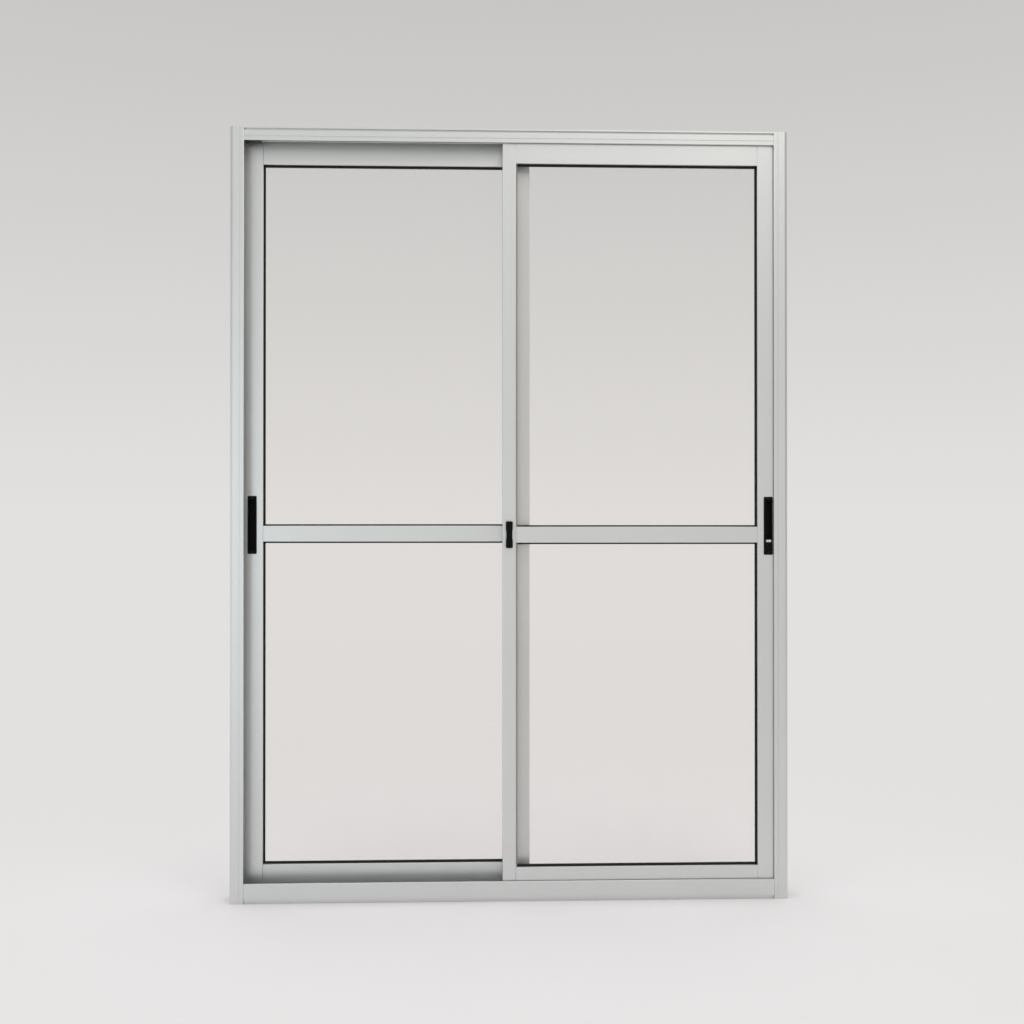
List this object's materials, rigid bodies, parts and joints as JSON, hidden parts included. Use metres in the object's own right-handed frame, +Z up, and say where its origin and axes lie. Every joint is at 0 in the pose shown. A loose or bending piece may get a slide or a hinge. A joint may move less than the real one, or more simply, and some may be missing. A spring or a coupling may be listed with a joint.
{
  "type": "pair of sliding french windows",
  "caption": "Two-leaf sliding french window in an aluminium frame: glazed leaves with mid rails on offset tracks, flush pulls, hook lock and meeting-stile latch.",
  "frame": {"origin": "middle of the sill's underside, at floor level", "axes": "+X to the right seen from the front, +Y from the front face to the back, +Z up"},
  "size_m": [1.48, 0.0835, 2.05],
  "materials": {
    "aluminium": "satin anodised",
    "glass": "clear float",
    "rubber": "matt black",
    "pile": "woven pile",
    "steel": "zinc plated",
    "black_plastic": "fine grained black",
    "grey_plastic": "moulded grey",
    "nylon": "natural nylon",
    "thumb_metal": "satin silver"
  },
  "bodies": {
    "frame": {"left_jamb": "aluminium", "right_jamb": "aluminium", "head": "aluminium", "sill": "aluminium", "frame_screws": "steel", "head_front_pile": "pile", "head_rear_pile": "pile", "sill_front_pile": "pile", "sill_rear_pile": "pile", "left_jamb_pile": "pile", "right_jamb_pile": "pile", "jamb_buffers": "rubber", "travel_stops": "black_plastic", "lock_keeper": "steel", "keeper_screws": "steel"},
    "left_leaf": {"left_closing_stile": "aluminium", "left_meeting_stile": "aluminium", "left_top_rail": "aluminium", "left_mid_rail": "aluminium", "left_bottom_rail": "aluminium", "left_upper_glass": "glass", "left_lower_glass": "glass", "left_upper_gasket": "rubber", "left_lower_gasket": "rubber", "left_leaf_screws": "steel", "left_pull": "black_plastic", "left_pull_screws": "black_plastic", "left_top_guides": "black_plastic", "left_roller_housings": "grey_plastic", "left_roller_axles": "steel", "left_interlock": "aluminium", "latch_keeper": "black_plastic"},
    "right_leaf": {"right_closing_stile": "aluminium", "right_meeting_stile": "aluminium", "right_top_rail": "aluminium", "right_mid_rail": "aluminium", "right_bottom_rail": "aluminium", "right_upper_glass": "glass", "right_lower_glass": "glass", "right_upper_gasket": "rubber", "right_lower_gasket": "rubber", "right_leaf_screws": "steel", "lock_case": "black_plastic", "lock_case_screws": "black_plastic", "right_top_guides": "black_plastic", "right_roller_housings": "grey_plastic", "right_roller_axles": "steel", "right_interlock": "aluminium", "latch_bush": "black_plastic"},
    "left_outer_roller": {"left_outer_wheel": "nylon"},
    "left_inner_roller": {"left_inner_wheel": "nylon"},
    "right_outer_roller": {"right_outer_wheel": "nylon"},
    "right_inner_roller": {"right_inner_wheel": "nylon"},
    "lock": {"lock_thumb": "thumb_metal", "lock_hook": "steel"},
    "latch": {"latch_lever": "black_plastic", "latch_cam": "steel"}
  },
  "joints": [
    {"name": "left_leaf_slide", "type": "slide", "parent": "frame", "child": "left_leaf", "axis": [1, 0, 0], "range_m": [0, 0.64]},
    {"name": "right_leaf_slide", "type": "slide", "parent": "frame", "child": "right_leaf", "axis": [-1, 0, 0], "range_m": [0, 0.64]},
    {"name": "lock_slide", "type": "slide", "parent": "right_leaf", "child": "lock", "axis": [0, 0, -1], "range_m": [0, 0.01]},
    {"name": "latch_turn", "type": "hinge", "parent": "right_leaf", "child": "latch", "pos_m": [-0.00375, -0.02, 0.9985], "axis": [0, -1, 0], "range_deg": [0, 90]},
    {"name": "left_outer_roller_spin", "type": "hinge", "parent": "left_leaf", "child": "left_outer_roller", "pos_m": [-0.601, 0.02, 0.0408], "axis": [0, 1, 0], "continuous": true},
    {"name": "left_inner_roller_spin", "type": "hinge", "parent": "left_leaf", "child": "left_inner_roller", "pos_m": [-0.074, 0.02, 0.0408], "axis": [0, 1, 0], "continuous": true},
    {"name": "right_outer_roller_spin", "type": "hinge", "parent": "right_leaf", "child": "right_outer_roller", "pos_m": [0.601, -0.02, 0.0383], "axis": [0, 1, 0], "continuous": true},
    {"name": "right_inner_roller_spin", "type": "hinge", "parent": "right_leaf", "child": "right_inner_roller", "pos_m": [0.074, -0.02, 0.0383], "axis": [0, 1, 0], "continuous": true}
  ],
  "couplings": [
    {"joint": "left_outer_roller_spin", "follows": "left_leaf_slide", "rad_per_m": 90.909},
    {"joint": "left_inner_roller_spin", "follows": "left_leaf_slide", "rad_per_m": 90.909},
    {"joint": "right_outer_roller_spin", "follows": "right_leaf_slide", "rad_per_m": -90.909},
    {"joint": "right_inner_roller_spin", "follows": "right_leaf_slide", "rad_per_m": -90.909}
  ]
}
